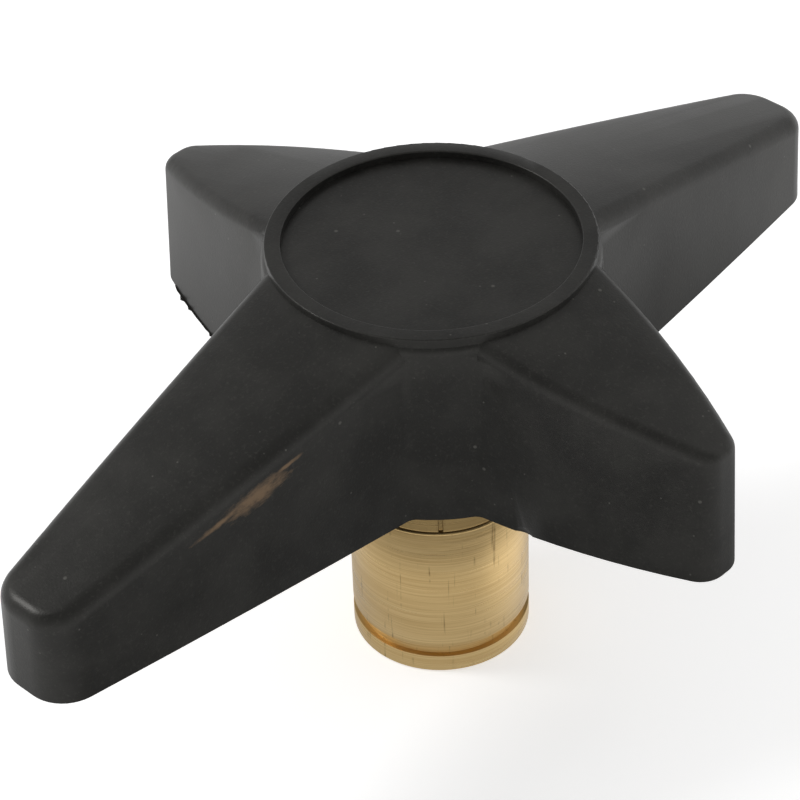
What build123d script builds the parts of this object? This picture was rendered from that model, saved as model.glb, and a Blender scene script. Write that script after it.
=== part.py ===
"""Star knob: a moulded four-armed plastic knob with a turned brass insert.

The knob stands on the open end of its insert. The origin is on the axis, in the plane
of that end face. +Z is up, the long arms run along X and the short arms along Y.
"""
from build123d import *
from math import cos, radians, sin, tan
import os

# Heights above the end face of the insert
hub_top_height = 82.75
arm_base_height = 47.75
shoulder_height = 32.5

# Hub, and the raised rim round its recessed face
hub_base_radius = 29.6
hub_edge_radius = 1.8
rim_radius = 27.8
rim_width = 2.75
rim_height = 1.25
rim_edge_radius = 0.25
recess_depth = 1.4

# Arms: plan form in the base plane, half widths at the root, inside the hub, and at the tip
draft_angle = 2.0
crest_angle = 15.6
crown_radius = 80.0
arm_root_offset = 15.0
long_reach = 93.8
long_root_half = 18.2
long_tip_half = 7.85
long_bulge = 0.37
long_corner_radius = 7.0
long_edge_radius = 3.1
short_reach = 64.0
short_root_half = 17.4
short_tip_half = 3.8
short_bulge = 2.25
short_corner_radius = 4.7
short_edge_radius = 2.5
junction_radius = 3.0
filling_inset = 0.05

# Cored underside: outer wall, roof, boss round the insert, and ribs
wall_thickness = 4.0
tip_wall_thickness = 6.0
roof_thickness = 4.5
boss_radius = 20.5
spine_thickness = 3.0
cross_rib_thickness = 2.5
rib_recess = 1.5
long_rib_setbacks = (23.8, 45.8)
short_rib_setbacks = (20.0,)

# Brass insert: barrel, neck and the grooves that lock it in the plastic
barrel_radius = 15.875
barrel_chamfer = 0.3
ring_groove_height = 3.65
ring_groove_width = 2.35
ring_groove_depth = 1.1
neck_radius = 15.3
insert_top_height = 72.0
key_count = 8
key_width = 0.7
key_depth = 0.5
lock_groove_height = 60.0
lock_groove_width = 4.0
lock_groove_depth = 1.5
thread_bore_radius = 8.33
thread_depth = 50.0
drill_point_angle = 118.0
mouth_chamfer = 1.2
insert_gap = 0.05

os.makedirs("parts", exist_ok=True)

# An arm blank is drafted up from the base plane, past its crest, which runs down to the tip
# from the foot of the rim.
overall_height = hub_top_height + rim_height
crest_rise = (rim_radius - arm_root_offset) * tan(radians(crest_angle))
blank_height = hub_top_height + crest_rise - arm_base_height + 1.0
crest_direction = (cos(radians(crest_angle)), 0, -sin(radians(crest_angle)))
crest_plane = Plane((rim_radius, 0, hub_top_height), x_dir=(0, 1, 0), z_dir=crest_direction)


def arm_plan(reach, root_half, tip_half, bulge, corner_radius, inset=0.0):
    """Plan form, in its base plane, of an arm that points along +X."""
    root_half = root_half - inset
    tip_half = tip_half - inset
    with BuildSketch() as plan:
        with BuildLine():
            SagittaArc((arm_root_offset, -root_half), (reach, -tip_half), -bulge)
            Line((reach, -tip_half), (reach, tip_half))
            SagittaArc((reach, tip_half), (arm_root_offset, root_half), -bulge)
            Line((arm_root_offset, root_half), (arm_root_offset, -root_half))
        make_face()
        fillet(plan.vertices().group_by(Axis.X)[-1], corner_radius)
    return plan.sketch


def drafted_arm(plan, depth_below_crest=0.0):
    """A plan form raised with draft and trimmed to the crowned, sloping top of the arm."""
    with BuildPart() as arm:
        with BuildSketch(Plane.XY.offset(arm_base_height)):
            add(plan)
        extrude(amount=blank_height, taper=draft_angle)
        with BuildSketch(crest_plane):
            with Locations((0, -crown_radius)):
                Circle(crown_radius - depth_below_crest)
        extrude(amount=long_reach, both=True, mode=Mode.INTERSECT)
    return arm.part


def rounded_arm(plan, edge_radius):
    """The outside of an arm, with its top edges rounded all the way round the tip."""
    with BuildPart() as arm:
        add(drafted_arm(plan))
        top = arm.faces().filter_by(GeomType.CYLINDER).sort_by(SortBy.AREA)[-1]
        fillet(top.edges().sort_by(Axis.X)[1:], edge_radius)
    return arm.part


def arm_core(plan, reach, rib_setbacks):
    """The pocket moulded up into an arm, divided by cross ribs set back from the tip."""
    with BuildSketch() as pocket_plan:
        add(plan)
        offset(amount=-wall_thickness)
        Rectangle(2 * (reach - tip_wall_thickness), reach, mode=Mode.INTERSECT)
    with BuildPart() as core:
        add(drafted_arm(pocket_plan.sketch, roof_thickness))
        with BuildSketch(Plane.XY.offset(arm_base_height + rib_recess)):
            with Locations(*[(reach - setback, 0) for setback in rib_setbacks]):
                Rectangle(cross_rib_thickness, 4 * long_root_half)
        extrude(amount=blank_height, mode=Mode.SUBTRACT)
    return core.part


def locked_neck(bottom_height, gap=0.0):
    """The insert's neck, with its key grooves and lock groove, grown all over by a gap."""
    with BuildPart() as neck:
        with BuildSketch(Plane.XY.offset(bottom_height)):
            Circle(neck_radius + gap)
            with PolarLocations(neck_radius + gap, key_count, start_angle=45):
                Rectangle(2 * key_depth, key_width - 2 * gap, mode=Mode.SUBTRACT)
        extrude(amount=insert_top_height + gap - bottom_height)
        with BuildSketch(Plane.XY.offset(lock_groove_height + gap)):
            Circle(neck_radius + 2 * gap + 1)
            Circle(neck_radius - lock_groove_depth + gap, mode=Mode.SUBTRACT)
        extrude(amount=lock_groove_width - 2 * gap, mode=Mode.SUBTRACT)
    return neck.part


long_plan = arm_plan(long_reach, long_root_half, long_tip_half, long_bulge, long_corner_radius)
short_plan = arm_plan(short_reach, short_root_half, short_tip_half, short_bulge, short_corner_radius)
long_filling = arm_plan(
    long_reach, long_root_half, long_tip_half, long_bulge, long_corner_radius, filling_inset
)
short_filling = arm_plan(
    short_reach, short_root_half, short_tip_half, short_bulge, short_corner_radius, filling_inset
)
filling_height = hub_top_height - long_edge_radius - rim_height - arm_base_height

# The underside is cored out round a central boss, with a spine along each pair of arms.
with BuildPart() as core_space:
    with BuildSketch(Plane.XY.offset(arm_base_height)):
        Circle(hub_base_radius - wall_thickness)
    extrude(amount=hub_top_height - roof_thickness - arm_base_height, taper=draft_angle)
    for turn in (0, 180):
        add(arm_core(long_plan, long_reach, long_rib_setbacks), rotation=(0, 0, turn))
        add(arm_core(short_plan, short_reach, short_rib_setbacks), rotation=(0, 0, turn + 90))
    with BuildSketch(Plane.XY.offset(arm_base_height + rib_recess)):
        Rectangle(2 * long_reach, spine_thickness)
        Rectangle(spine_thickness, 2 * short_reach)
    extrude(amount=blank_height, mode=Mode.SUBTRACT)
    with BuildSketch(Plane.XY.offset(arm_base_height)):
        Circle(boss_radius)
    extrude(amount=blank_height, mode=Mode.SUBTRACT)

with BuildPart() as knob_body:
    # Hub wall and the four arms
    with BuildSketch(Plane.XY.offset(arm_base_height)):
        Circle(hub_base_radius)
    extrude(amount=hub_top_height - arm_base_height, taper=draft_angle)
    fillet(knob_body.edges().group_by(Axis.Z)[-1], hub_edge_radius)
    for turn in (0, 180):
        add(rounded_arm(long_plan, long_edge_radius), rotation=(0, 0, turn))
        add(rounded_arm(short_plan, short_edge_radius), rotation=(0, 0, turn + 90))
    # Hollow corners where the arms leave the hub, set in a little from the faces they join
    with BuildSketch(Plane.XY.offset(arm_base_height)) as hollow_star:
        Circle(hub_base_radius - filling_inset)
        for turn in (0, 180):
            add(long_filling, rotation=turn)
            add(short_filling, rotation=turn + 90)
        fillet(hollow_star.vertices().sort_by_distance((0, 0, 0))[:8], junction_radius)
        Circle(hub_base_radius + junction_radius, mode=Mode.INTERSECT)
    extrude(amount=filling_height, taper=draft_angle)
    # Rim and recessed face
    with BuildSketch(Plane.XY.offset(arm_base_height)):
        Circle(rim_radius)
    extrude(amount=overall_height - arm_base_height)
    with BuildSketch(Plane.XY.offset(overall_height - recess_depth)):
        Circle(rim_radius - rim_width)
    extrude(amount=blank_height, mode=Mode.SUBTRACT)
    fillet(knob_body.edges().group_by(Axis.Z)[-1], rim_edge_radius)
    # Cored underside and the seat moulded round the insert
    add(core_space.part, mode=Mode.SUBTRACT)
    add(locked_neck(shoulder_height, insert_gap), mode=Mode.SUBTRACT)

with BuildPart() as threaded_insert:
    # Barrel with a groove for a retaining ring near its open end
    with BuildSketch():
        Circle(barrel_radius)
    extrude(amount=shoulder_height)
    chamfer(threaded_insert.edges().filter_by(GeomType.CIRCLE), barrel_chamfer)
    with BuildSketch(Plane.XY.offset(ring_groove_height)):
        Circle(barrel_radius + 1)
        Circle(barrel_radius - ring_groove_depth, mode=Mode.SUBTRACT)
    extrude(amount=ring_groove_width, mode=Mode.SUBTRACT)
    add(locked_neck(shoulder_height))
    # Blind tapped hole, drilled from the open end
    point_depth = thread_bore_radius / tan(radians(drill_point_angle / 2))
    with BuildSketch(Plane.XZ):
        with BuildLine():
            Polyline(
                (0, 0),
                (thread_bore_radius + mouth_chamfer, 0),
                (thread_bore_radius, mouth_chamfer),
                (thread_bore_radius, thread_depth),
                (0, thread_depth + point_depth),
                close=True,
            )
        make_face()
    revolve(axis=Axis.Z, mode=Mode.SUBTRACT)

knob_body.part.label = "knob_body"
threaded_insert.part.label = "threaded_insert"
export_step(knob_body.part, "parts/knob_body.step")
export_step(threaded_insert.part, "parts/threaded_insert.step")
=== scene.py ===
"""Star knob: the moulded body and its turned brass insert, dressed for a still picture."""
import bpy
import math
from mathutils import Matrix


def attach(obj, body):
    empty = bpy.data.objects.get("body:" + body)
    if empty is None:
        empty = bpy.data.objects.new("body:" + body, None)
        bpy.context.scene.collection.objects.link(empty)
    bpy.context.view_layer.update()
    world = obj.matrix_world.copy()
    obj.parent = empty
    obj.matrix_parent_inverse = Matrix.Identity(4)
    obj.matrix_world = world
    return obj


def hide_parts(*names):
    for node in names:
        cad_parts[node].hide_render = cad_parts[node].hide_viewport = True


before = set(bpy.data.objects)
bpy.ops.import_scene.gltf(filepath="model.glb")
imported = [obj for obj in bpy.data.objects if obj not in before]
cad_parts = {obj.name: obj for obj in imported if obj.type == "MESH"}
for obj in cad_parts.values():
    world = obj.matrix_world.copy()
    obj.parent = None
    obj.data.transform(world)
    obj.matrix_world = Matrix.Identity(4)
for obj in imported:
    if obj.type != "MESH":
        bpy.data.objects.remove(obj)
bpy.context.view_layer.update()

# The camera stands in front of and above the knob, between a long arm and a short arm.
# A long lens keeps the perspective gentle, and the camera leans over a little.
bpy.ops.object.camera_add(
    location=(-0.305032, -0.296236, 0.393458),
    rotation=(math.radians(51.0182), math.radians(1.6527), math.radians(-46.3455)),
)
camera = bpy.context.object
camera.name = "camera"
camera.data.lens = 142.9
camera.data.sensor_width = 36
camera.data.clip_start = 0.01
bpy.context.scene.camera = camera

# The knob stands on a plain white light table, in a tent of white cloth. The table shows
# white all over, but it lights the knob more from its far edges than from under the arms.
bpy.ops.mesh.primitive_plane_add(size=12, location=(0, 0, 0))
floor = bpy.context.object
floor.name = "floor"
floor_paper = bpy.data.materials.new("floor_paper")
floor_paper.use_nodes = True
floor_tree = floor_paper.node_tree
floor_shader = floor_tree.nodes["Principled BSDF"]
floor_shader.inputs["Base Color"].default_value = (0.93, 0.93, 0.93, 1)
floor_shader.inputs["Roughness"].default_value = 0.9
floor_shader.inputs["Specular IOR Level"].default_value = 0.1
floor_shader.inputs["Emission Color"].default_value = (1, 1, 1, 1)
floor_shader.inputs["Emission Strength"].default_value = 0.5
table_place = floor_tree.nodes.new("ShaderNodeTexCoord")
table_reach = floor_tree.nodes.new("ShaderNodeVectorMath")
table_reach.operation = "LENGTH"
floor_tree.links.new(table_place.outputs["Object"], table_reach.inputs[0])
table_span = floor_tree.nodes.new("ShaderNodeMapRange")
table_span.inputs["From Max"].default_value = 0.2
floor_tree.links.new(table_reach.outputs["Value"], table_span.inputs["Value"])
table_glow = floor_tree.nodes.new("ShaderNodeValToRGB")
table_glow.color_ramp.interpolation = "EASE"
table_glow.color_ramp.elements[0].position = 0.14
table_glow.color_ramp.elements[0].color = (0.55, 0.55, 0.55, 1)
table_glow.color_ramp.elements[1].position = 0.85
table_glow.color_ramp.elements[1].color = (0.95, 0.95, 0.95, 1)
for stop, shine in ((0.2, 0.8), (0.225, 0.7), (0.255, 0.28), (0.33, 0.2), (0.48, 0.23)):
    step = table_glow.color_ramp.elements.new(stop)
    step.color = (shine, shine, shine, 1)
floor_tree.links.new(table_span.outputs["Result"], table_glow.inputs["Fac"])
table_strength = table_glow.outputs["Color"]
for patch_place, patch_size, patch_glow in (
    ((-0.085, 0.115, 0), 0.1, 0.7), ((0.024, -0.034, 0), 0.034, 0.45),
):
    patch_reach = floor_tree.nodes.new("ShaderNodeVectorMath")
    patch_reach.operation = "DISTANCE"
    patch_reach.inputs[1].default_value = patch_place
    floor_tree.links.new(table_place.outputs["Object"], patch_reach.inputs[0])
    patch_fade = floor_tree.nodes.new("ShaderNodeMapRange")
    patch_fade.interpolation_type = "SMOOTHSTEP"
    patch_fade.inputs["From Min"].default_value = patch_size
    patch_fade.inputs["From Max"].default_value = patch_size * 0.2
    patch_fade.inputs["To Max"].default_value = patch_glow
    floor_tree.links.new(patch_reach.outputs["Value"], patch_fade.inputs["Value"])
    patch_sum = floor_tree.nodes.new("ShaderNodeMath")
    floor_tree.links.new(table_strength, patch_sum.inputs[0])
    floor_tree.links.new(patch_fade.outputs["Result"], patch_sum.inputs[1])
    table_strength = patch_sum.outputs["Value"]
table_light = floor_tree.nodes.new("ShaderNodeEmission")
floor_tree.links.new(table_strength, table_light.inputs["Strength"])
table_path = floor_tree.nodes.new("ShaderNodeLightPath")
table_mix = floor_tree.nodes.new("ShaderNodeMixShader")
floor_tree.links.new(table_path.outputs["Is Camera Ray"], table_mix.inputs["Fac"])
floor_tree.links.new(table_light.outputs["Emission"], table_mix.inputs[1])
floor_tree.links.new(floor_shader.outputs["BSDF"], table_mix.inputs[2])
floor_tree.links.new(
    table_mix.outputs["Shader"], floor_tree.nodes["Material Output"].inputs["Surface"]
)
floor.data.materials.append(floor_paper)

tent = bpy.data.worlds.new("tent")
tent.use_nodes = True
tent_tree = tent.node_tree
tent_place = tent_tree.nodes.new("ShaderNodeTexCoord")
tent_height = tent_tree.nodes.new("ShaderNodeSeparateXYZ")
tent_tree.links.new(tent_place.outputs["Generated"], tent_height.inputs["Vector"])
tent_glow = tent_tree.nodes.new("ShaderNodeMapRange")
tent_glow.inputs["From Min"].default_value = 0.1
tent_glow.inputs["From Max"].default_value = 0.65
tent_glow.inputs["To Min"].default_value = 0.85
tent_glow.inputs["To Max"].default_value = 0.3
tent_tree.links.new(tent_height.outputs["Z"], tent_glow.inputs["Value"])
tent_strength = tent_glow.outputs["Result"]
for lamp_way, lamp_glow in (((0.542, -0.345, 0.766), 0.5), ((0.06, 0.5, 0.864), 0.26)):
    tent_lamp = tent_tree.nodes.new("ShaderNodeVectorMath")
    tent_lamp.operation = "DOT_PRODUCT"
    tent_lamp.inputs[1].default_value = lamp_way
    tent_tree.links.new(tent_place.outputs["Generated"], tent_lamp.inputs[0])
    tent_patch = tent_tree.nodes.new("ShaderNodeMapRange")
    tent_patch.interpolation_type = "SMOOTHSTEP"
    tent_patch.inputs["From Min"].default_value = 0.75
    tent_patch.inputs["From Max"].default_value = 0.99
    tent_patch.inputs["To Max"].default_value = lamp_glow
    tent_tree.links.new(tent_lamp.outputs["Value"], tent_patch.inputs["Value"])
    tent_sum = tent_tree.nodes.new("ShaderNodeMath")
    tent_tree.links.new(tent_strength, tent_sum.inputs[0])
    tent_tree.links.new(tent_patch.outputs["Result"], tent_sum.inputs[1])
    tent_strength = tent_sum.outputs["Value"]
tent_tree.nodes["Background"].inputs["Color"].default_value = (1, 1, 1, 1)
tent_tree.links.new(tent_strength, tent_tree.nodes["Background"].inputs["Strength"])
bpy.context.scene.world = tent
bpy.context.scene.view_settings.view_transform = "Standard"

bpy.ops.object.light_add(type="AREA", location=(-0.54, 0.66, 0.84))
soft_box = bpy.context.object
soft_box.name = "soft_box"
soft_box.data.shape = "DISK"
soft_box.data.size = 0.34
soft_box.data.energy = 4.2
soft_box.rotation_euler = (math.radians(-47.2), 0, math.radians(39.3))

# Knob body: one moulding in black plastic. It comes from a steel mould with a fine
# matt finish, so that its faces have a soft sheen and its rounded edges catch the light.
knob_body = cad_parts["knob_body"]
moulding = bpy.data.objects.new("moulding", knob_body.data.copy())
bpy.context.collection.objects.link(moulding)
bpy.ops.object.select_all(action="DESELECT")
moulding.select_set(True)
bpy.context.view_layer.objects.active = moulding
bpy.ops.mesh.customdata_custom_splitnormals_clear()
bpy.ops.object.mode_set(mode="EDIT")
bpy.ops.mesh.select_all(action="SELECT")
bpy.ops.mesh.remove_doubles(threshold=0.000001)

# The hollow corners beside the hub run out to nothing just under the rounded top edges.
filling_top = 0.0784
bpy.ops.object.mode_set(mode="OBJECT")
for face in moulding.data.polygons:
    reach = math.hypot(face.center.x, face.center.y)
    face.select = 0.026 < reach < 0.034 and face.center.z > 0.050
bpy.ops.object.mode_set(mode="EDIT")
bpy.ops.mesh.select_mode(type="FACE")
bpy.ops.mesh.bisect(plane_co=(0, 0, 0.0762), plane_no=(0, 0, 1))
bpy.ops.mesh.select_mode(type="VERT")
for corner_x, corner_y in ((0.02365, 0.01633), (0.01533, 0.02431)):
    for side_x in (-1, 1):
        for side_y in (-1, 1):
            bpy.ops.mesh.select_all(action="DESELECT")
            bpy.ops.object.mode_set(mode="OBJECT")
            for vertex in moulding.data.vertices:
                across = vertex.co.x - side_x * corner_x
                along = vertex.co.y - side_y * corner_y
                near = math.hypot(across, along) < 0.0019
                vertex.select = near and abs(vertex.co.z - filling_top) < 0.00004
            bpy.ops.object.mode_set(mode="EDIT")
            bpy.ops.mesh.merge(type="CENTER")
            bpy.ops.transform.translate(value=(-side_x * 0.00009, -side_y * 0.00009, 0.0007))

# A small chip is knocked out of one bottom edge of a short arm.
bpy.ops.object.mode_set(mode="OBJECT")
bpy.ops.object.select_all(action="DESELECT")
bpy.ops.mesh.primitive_uv_sphere_add(
    segments=48, ring_count=24, radius=0.004, location=(-0.01798, -0.0342, 0.04753)
)
chip = bpy.context.object
bpy.ops.object.select_all(action="DESELECT")
moulding.select_set(True)
bpy.context.view_layer.objects.active = moulding
knock = moulding.modifiers.new("chip", "BOOLEAN")
knock.operation = "DIFFERENCE"
knock.solver = "EXACT"
knock.object = chip
bpy.ops.object.modifier_apply(modifier="chip")
bpy.data.objects.remove(chip)
bpy.ops.object.shade_smooth_by_angle(angle=math.radians(30))


def add_node(tree, kind, **settings):
    """Adds a shader node, with its settings and its unlinked inputs by name."""
    node = tree.nodes.new(kind)
    for key, value in settings.items():
        socket = key.replace("_", " ")
        if hasattr(node, key):
            setattr(node, key, value)
        else:
            node.inputs[socket].default_value = value
    return node


def new_finish(name, color, roughness):
    """A new material with its shader's own colour and roughness set."""
    material = bpy.data.materials.new(name)
    material.use_nodes = True
    shader = material.node_tree.nodes["Principled BSDF"]
    shader.inputs["Base Color"].default_value = (*color, 1)
    shader.inputs["Roughness"].default_value = roughness
    return material, material.node_tree, shader


def spot(tree, place, centre, radius):
    """A soft-edged mask, 1 at a point on the surface and 0 beyond a radius from it."""
    distance = add_node(tree, "ShaderNodeVectorMath", operation="DISTANCE")
    distance.inputs[1].default_value = centre
    tree.links.new(place, distance.inputs[0])
    mask = add_node(tree, "ShaderNodeMapRange", interpolation_type="SMOOTHSTEP")
    mask.inputs["From Min"].default_value = radius
    mask.inputs["From Max"].default_value = radius * 0.4
    tree.links.new(distance.outputs["Value"], mask.inputs["Value"])
    return mask.outputs["Result"]


def join_masks(tree, masks):
    """The strongest of several masks at each place."""
    result = masks[0]
    for mask in masks[1:]:
        larger = add_node(tree, "ShaderNodeMath", operation="MAXIMUM")
        tree.links.new(result, larger.inputs[0])
        tree.links.new(mask, larger.inputs[1])
        result = larger.outputs["Value"]
    return result


def mix_over(tree, base, top, mask):
    """A colour painted over another one through a mask."""
    mix = add_node(tree, "ShaderNodeMix", data_type="RGBA")
    for value, socket in ((base, 6), (top, 7)):
        if isinstance(value, tuple):
            mix.inputs[socket].default_value = (*value, 1)
        else:
            tree.links.new(value, mix.inputs[socket])
    tree.links.new(mask, mix.inputs[0])
    return mix.outputs[2]


body_black = (0.0088, 0.0086, 0.0078)
body_worn = (0.0200, 0.0195, 0.0176)
body_plastic, tree, shader = new_finish("body_plastic", body_black, 0.46)
shader.inputs["Specular IOR Level"].default_value = 0.36
shader.inputs["Specular Tint"].default_value = (1.0, 0.985, 0.94, 1)
place = add_node(tree, "ShaderNodeTexCoord").outputs["Object"]

# Handling leaves faint cloudy patches on the plastic.
clouds = add_node(tree, "ShaderNodeTexNoise", Scale=70.0, Detail=5.0, Roughness=0.62)
tree.links.new(place, clouds.inputs["Vector"])
cloud_mask = add_node(tree, "ShaderNodeMapRange", From_Min=0.40, From_Max=0.64)
tree.links.new(clouds.outputs["Fac"], cloud_mask.inputs["Value"])
color = mix_over(tree, body_black, body_worn, cloud_mask.outputs["Result"])

# The plastic's own fine speckle, paler where its skin has dulled.
speckle = add_node(tree, "ShaderNodeTexNoise", Scale=1500.0, Detail=3.0, Roughness=0.75)
tree.links.new(place, speckle.inputs["Vector"])
speckle_mask = add_node(tree, "ShaderNodeMapRange", From_Min=0.54, From_Max=0.76, To_Max=0.5)
tree.links.new(speckle.outputs["Fac"], speckle_mask.inputs["Value"])
speckle_pale = (0.046, 0.0445, 0.0395)
color = mix_over(tree, color, speckle_pale, speckle_mask.outputs["Result"])

# Fine pale dust lies on it, with a few larger specks.
dust_cells = add_node(tree, "ShaderNodeTexVoronoi", Scale=260.0, Randomness=1.0)
tree.links.new(place, dust_cells.inputs["Vector"])
dust_size = add_node(tree, "ShaderNodeMapRange", From_Min=0.055, From_Max=0.025)
tree.links.new(dust_cells.outputs["Distance"], dust_size.inputs["Value"])
speck_points = (
    (-0.0018, -0.01544, 0.0826), (-0.00102, 0.00668, 0.0826), (-0.00786, 0.01445, 0.0826),
    (0.00956, -0.0286, 0.08193), (0.07306, -0.00938, 0.06879), (-0.03697, -0.01465, 0.07492),
    (-0.01619, -0.02432, 0.06239), (-0.01561, -0.0257, 0.05811), (0.03993, -0.01233, 0.0783),
    (-0.08502, -0.00209, 0.06674), (-0.00421, -0.06159, 0.06429),
)
specks = [spot(tree, place, point, 0.00042) for point in speck_points]
dust = join_masks(tree, [dust_size.outputs["Result"], *specks])
dust_pale = (0.075, 0.073, 0.066)
color = mix_over(tree, color, dust_pale, dust)

# A brown rub lies along one side of a long arm, just under its rounded edge.
rub_parts = (
    ((-0.0537, -0.0125, 0.0695), (0.0074, 0.006, 0.0021)),
    ((-0.0606, -0.0118, 0.0681), (0.0062, 0.006, 0.0007)),
    ((-0.0476, -0.0132, 0.0722), (0.0030, 0.006, 0.0005)),
)
rub_streaks = add_node(tree, "ShaderNodeTexNoise", Scale=1.0, Detail=6.0, Roughness=0.72)
rub_masks = []
for rub_centre, rub_size in rub_parts:
    rub_offset = add_node(tree, "ShaderNodeVectorMath", operation="SUBTRACT")
    rub_offset.inputs[1].default_value = rub_centre
    tree.links.new(place, rub_offset.inputs[0])
    rub_turn = add_node(tree, "ShaderNodeVectorRotate", rotation_type="Y_AXIS")
    rub_turn.inputs["Angle"].default_value = math.radians(15.2)
    tree.links.new(rub_offset.outputs["Vector"], rub_turn.inputs["Vector"])
    if not rub_masks:
        rub_stretch = add_node(tree, "ShaderNodeVectorMath", operation="MULTIPLY")
        rub_stretch.inputs[1].default_value = (420.0, 500.0, 1100.0)
        tree.links.new(rub_turn.outputs["Vector"], rub_stretch.inputs[0])
        tree.links.new(rub_stretch.outputs["Vector"], rub_streaks.inputs["Vector"])
    rub_scale = add_node(tree, "ShaderNodeVectorMath", operation="DIVIDE")
    rub_scale.inputs[1].default_value = rub_size
    tree.links.new(rub_turn.outputs["Vector"], rub_scale.inputs[0])
    rub_length = add_node(tree, "ShaderNodeVectorMath", operation="LENGTH")
    tree.links.new(rub_scale.outputs["Vector"], rub_length.inputs[0])
    rub_edge = add_node(tree, "ShaderNodeMath", operation="MULTIPLY_ADD")
    rub_edge.inputs[1].default_value = 1.8
    tree.links.new(rub_streaks.outputs["Fac"], rub_edge.inputs[0])
    tree.links.new(rub_length.outputs["Value"], rub_edge.inputs[2])
    rub_fade = add_node(tree, "ShaderNodeMapRange", From_Min=1.92, From_Max=1.15, To_Max=0.9)
    tree.links.new(rub_edge.outputs["Value"], rub_fade.inputs["Value"])
    rub_masks.append(rub_fade.outputs["Result"])
rub_mask = join_masks(tree, rub_masks)
rub_brown = (0.19, 0.122, 0.068)
color = mix_over(tree, color, rub_brown, rub_mask)
tree.links.new(color, shader.inputs["Base Color"])

# The mould's finish is a fine grain over slow, shallow waves.
grain = add_node(tree, "ShaderNodeTexNoise", Scale=2600.0, Detail=2.0)
tree.links.new(place, grain.inputs["Vector"])
grain_relief = add_node(tree, "ShaderNodeBump", Strength=0.4, Distance=0.00006)
tree.links.new(grain.outputs["Fac"], grain_relief.inputs["Height"])
waves = add_node(tree, "ShaderNodeTexNoise", Scale=55.0, Detail=1.0)
tree.links.new(place, waves.inputs["Vector"])
wave_relief = add_node(tree, "ShaderNodeBump", Strength=0.12, Distance=0.002)
tree.links.new(waves.outputs["Fac"], wave_relief.inputs["Height"])
tree.links.new(grain_relief.outputs["Normal"], wave_relief.inputs["Normal"])
tree.links.new(wave_relief.outputs["Normal"], shader.inputs["Normal"])
sheen_range = add_node(tree, "ShaderNodeMapRange", To_Min=0.30, To_Max=0.42)
tree.links.new(clouds.outputs["Fac"], sheen_range.inputs["Value"])
tree.links.new(sheen_range.outputs["Result"], shader.inputs["Roughness"])
moulding.data.materials.clear()
moulding.data.materials.append(body_plastic)
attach(moulding, "root")
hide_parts("knob_body")

# Mould flash: a thin ragged skin of the same plastic, left where the two halves of the
# mould met along the bottom edge of one short arm.
flash_run = (
    (-0.00585, 0.0594, 0.00017), (-0.00650, 0.0581, 0.00032), (-0.00715, 0.0566, 0.00023),
    (-0.00765, 0.0555, 0.00070), (-0.00795, 0.0547, 0.00026), (-0.00845, 0.0532, 0.00029),
    (-0.00872, 0.0524, 0.00061), (-0.00900, 0.0516, 0.00029), (-0.00960, 0.0498, 0.00038),
    (-0.01020, 0.0478, 0.00043), (-0.01085, 0.0458, 0.00049), (-0.01120, 0.0446, 0.00043),
    (-0.01145, 0.0438, 0.00080), (-0.01165, 0.0431, 0.00017),
)
bpy.ops.object.select_all(action="DESELECT")
bpy.ops.mesh.primitive_plane_add(size=0.001, location=(0, 0, 0))
flash = bpy.context.object
flash.name = "mould_flash"
flash_height = 0.04777
flash_thickness = 0.00014
start_x, start_y, start_width = flash_run[0]
for corner, (out, rise) in zip((0, 1, 3, 2), ((-1, 0), (1, 0), (1, 1), (-1, 1))):
    flash.data.vertices[corner].co = (
        start_x - out * start_width, start_y, flash_height + rise * flash_thickness
    )
bpy.ops.object.mode_set(mode="EDIT")
bpy.ops.mesh.select_all(action="SELECT")
last_x, last_y, last_width = flash_run[0]
for next_x, next_y, next_width in flash_run[1:]:
    bpy.ops.mesh.extrude_region_move(
        TRANSFORM_OT_translate={"value": (next_x - last_x, next_y - last_y, 0)}
    )
    bpy.ops.transform.resize(value=(next_width / last_width, 1, 1))
    last_x, last_y, last_width = next_x, next_y, next_width
bpy.ops.mesh.select_all(action="SELECT")
bpy.ops.mesh.normals_make_consistent(inside=False)
bpy.ops.object.mode_set(mode="OBJECT")
flash.data.materials.clear()
flash.data.materials.append(body_plastic)
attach(flash, "root")

# Threaded insert: turned from brass bar on a lathe, then drilled and tapped from its open
# end. Its neck has fine grooves along it and one round it, which hold it in the moulding.
insert_profile = (
    (0.0640, 0.0153), (0.0640, 0.0138), (0.0600, 0.0138), (0.0600, 0.0153),
    (0.0325, 0.0153), (0.0325, 0.015575), (0.0322, 0.015875),
    (0.0060, 0.015875), (0.0060, 0.014775), (0.00365, 0.014775), (0.00365, 0.015875),
    (0.0003, 0.015875), (0.0, 0.015575), (0.0, 0.00953), (0.0012, 0.00833),
    (0.0500, 0.00833), (0.055005, 0.00001),
)
bpy.ops.object.select_all(action="DESELECT")
bpy.ops.mesh.primitive_circle_add(
    vertices=128, radius=0.0153, fill_type="NGON", location=(0, 0, 0.072),
    rotation=(0, 0, math.pi / 128),
)
turned_insert = bpy.context.object
turned_insert.name = "turned_insert"
bpy.ops.object.transform_apply(location=True, rotation=True, scale=True)
bpy.ops.object.mode_set(mode="EDIT")
height, radius = 0.072, 0.0153
for next_height, next_radius in insert_profile:
    bpy.ops.mesh.extrude_region_move(
        TRANSFORM_OT_translate={"value": (0, 0, next_height - height)}
    )
    bpy.ops.transform.resize(value=(next_radius / radius, next_radius / radius, 1))
    height, radius = next_height, next_radius
bpy.ops.mesh.merge(type="CENTER")
bpy.ops.mesh.select_all(action="SELECT")
bpy.ops.mesh.normals_make_consistent(inside=False)

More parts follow.
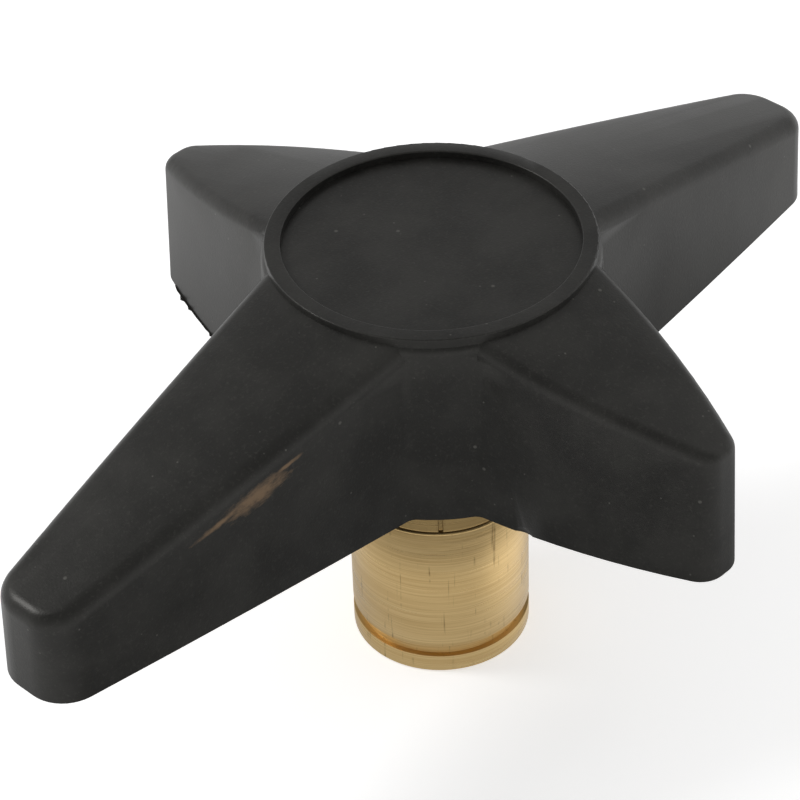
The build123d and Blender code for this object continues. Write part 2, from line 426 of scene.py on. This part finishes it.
# Eight key grooves are broached along the neck.
bpy.ops.mesh.select_mode(type="FACE")
bpy.ops.mesh.select_all(action="DESELECT")
bpy.ops.object.mode_set(mode="OBJECT")
for face in turned_insert.data.polygons:
    middle = face.center
    turn = math.degrees(math.atan2(middle.y, middle.x)) % 45
    on_neck = 0.033 < middle.z < 0.0595 and math.hypot(middle.x, middle.y) > 0.015
    face.select = on_neck and min(turn, 45 - turn) < 1
bpy.ops.object.mode_set(mode="EDIT")
bpy.ops.mesh.extrude_region_shrink_fatten(TRANSFORM_OT_shrink_fatten={"value": -0.0005})
bpy.ops.object.mode_set(mode="OBJECT")

# A light stoning takes the sharpness off every turned edge.
edges = turned_insert.modifiers.new("stoned_edges", "BEVEL")
edges.width = 0.00012
edges.segments = 2
edges.limit_method = "ANGLE"
edges.angle_limit = math.radians(28)
bpy.ops.object.modifier_apply(modifier="stoned_edges")

# The tap cuts a coarse thread up the hole: a coil with the thread's section is cut away.
thread_pitch = 0.00254
thread_turns = 16
bpy.ops.object.select_all(action="DESELECT")
bpy.ops.mesh.primitive_plane_add(size=0.001, location=(0, 0, 0))
tap = bpy.context.object
tap.name = "tap"
thread_section = (
    (0.00793, -0.00118), (0.009525, -0.00016), (0.009525, 0.00016), (0.00793, 0.00118),
)
for corner, (reach, rise) in zip((0, 1, 3, 2), thread_section):
    tap.data.vertices[corner].co = (reach, 0, rise - 0.0015)
bpy.ops.object.mode_set(mode="EDIT")
bpy.ops.mesh.select_all(action="SELECT")
bpy.ops.mesh.delete(type="ONLY_FACE")
bpy.ops.object.mode_set(mode="OBJECT")
coil = tap.modifiers.new("coil", "SCREW")
coil.axis = "Z"
coil.angle = math.tau
coil.screw_offset = thread_pitch
coil.iterations = thread_turns
coil.steps = 48
coil.render_steps = 48
coil.use_merge_vertices = False
bpy.ops.object.modifier_apply(modifier="coil")
bpy.ops.object.mode_set(mode="EDIT")
bpy.ops.mesh.select_all(action="SELECT")
bpy.ops.mesh.remove_doubles(threshold=0.000001)
bpy.ops.mesh.fill_holes(sides=6)
bpy.ops.mesh.select_all(action="SELECT")
bpy.ops.mesh.normals_make_consistent(inside=False)
bpy.ops.object.mode_set(mode="OBJECT")
bpy.ops.object.select_all(action="DESELECT")
turned_insert.select_set(True)
bpy.context.view_layer.objects.active = turned_insert
cut = turned_insert.modifiers.new("tapping", "BOOLEAN")
cut.operation = "DIFFERENCE"
cut.solver = "EXACT"
cut.object = tap
bpy.ops.object.modifier_apply(modifier="tapping")
bpy.data.objects.remove(tap)
bpy.ops.object.shade_smooth_by_angle(angle=math.radians(32))

insert_brass, tree, shader = new_finish("insert_brass", (0.74, 0.53, 0.235), 0.3)
shader.inputs["Metallic"].default_value = 1.0
place = add_node(tree, "ShaderNodeTexCoord").outputs["Object"]

# The tool leaves fine rings, some of them deeper or duller than the rest.
ring_place = add_node(tree, "ShaderNodeMapping")
ring_place.inputs["Scale"].default_value = (40, 40, 5200)
tree.links.new(place, ring_place.inputs["Vector"])
rings = add_node(tree, "ShaderNodeTexNoise", Scale=1.0, Detail=4.0, Roughness=0.7)
tree.links.new(ring_place.outputs["Vector"], rings.inputs["Vector"])
band_place = add_node(tree, "ShaderNodeMapping")
band_place.inputs["Scale"].default_value = (25, 25, 900)
tree.links.new(place, band_place.inputs["Vector"])
bands = add_node(tree, "ShaderNodeTexNoise", Scale=1.0, Detail=3.0, Roughness=0.6)
tree.links.new(band_place.outputs["Vector"], bands.inputs["Vector"])
ring_relief = add_node(tree, "ShaderNodeBump", Strength=0.6, Distance=0.00004)
tree.links.new(rings.outputs["Fac"], ring_relief.inputs["Height"])

# Long handling scratches run up and down the barrel.
scratch_place = add_node(tree, "ShaderNodeMapping")
scratch_place.inputs["Scale"].default_value = (1500, 1500, 60)
tree.links.new(place, scratch_place.inputs["Vector"])
scratches = add_node(tree, "ShaderNodeTexNoise", Scale=1.0, Detail=2.0, Roughness=0.5)
tree.links.new(scratch_place.outputs["Vector"], scratches.inputs["Vector"])
scratch_relief = add_node(tree, "ShaderNodeBump", Strength=0.12, Distance=0.00003)
tree.links.new(scratches.outputs["Fac"], scratch_relief.inputs["Height"])
tree.links.new(ring_relief.outputs["Normal"], scratch_relief.inputs["Normal"])
tree.links.new(scratch_relief.outputs["Normal"], shader.inputs["Normal"])
dull = add_node(tree, "ShaderNodeMapRange", From_Min=0.3, From_Max=0.7, To_Min=0.24, To_Max=0.42)
tree.links.new(bands.outputs["Fac"], dull.inputs["Value"])
tree.links.new(dull.outputs["Result"], shader.inputs["Roughness"])
shade = add_node(tree, "ShaderNodeMapRange", From_Min=0.35, From_Max=0.65)
tree.links.new(rings.outputs["Fac"], shade.inputs["Value"])
color = mix_over(tree, (0.62, 0.42, 0.175), (0.80, 0.585, 0.28), shade.outputs["Result"])

# Dirt sits in some of the scratches and knocks. The neck under the hub is painted darker brown,
# as painted shade from the hub above it.
dirt_line = add_node(tree, "ShaderNodeMapRange", From_Min=0.60, From_Max=0.70)
tree.links.new(scratches.outputs["Fac"], dirt_line.inputs["Value"])
dirt_patch = add_node(tree, "ShaderNodeTexNoise", Scale=150.0, Detail=3.0, Roughness=0.7)
tree.links.new(place, dirt_patch.inputs["Vector"])
dirt_place = add_node(tree, "ShaderNodeMapRange", From_Min=0.50, From_Max=0.62, To_Max=0.75)
tree.links.new(dirt_patch.outputs["Fac"], dirt_place.inputs["Value"])
dirt = add_node(tree, "ShaderNodeMath", operation="MULTIPLY")
tree.links.new(dirt_line.outputs["Result"], dirt.inputs[0])
tree.links.new(dirt_place.outputs["Result"], dirt.inputs[1])
color = mix_over(tree, color, (0.24, 0.15, 0.055), dirt.outputs["Value"])
height = add_node(tree, "ShaderNodeSeparateXYZ")
tree.links.new(place, height.inputs["Vector"])
# Painted shade: the brass above the shoulder is darkened to brown for the shade under the hub.
painted_neck_shade = add_node(tree, "ShaderNodeMapRange", From_Min=0.0321, From_Max=0.0329, To_Max=0.8)
tree.links.new(height.outputs["Z"], painted_neck_shade.inputs["Value"])
color = mix_over(tree, color, (0.30, 0.205, 0.085), painted_neck_shade.outputs["Result"])
tree.links.new(color, shader.inputs["Base Color"])
turned_insert.data.materials.clear()
turned_insert.data.materials.append(insert_brass)
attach(turned_insert, "root")
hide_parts("threaded_insert")
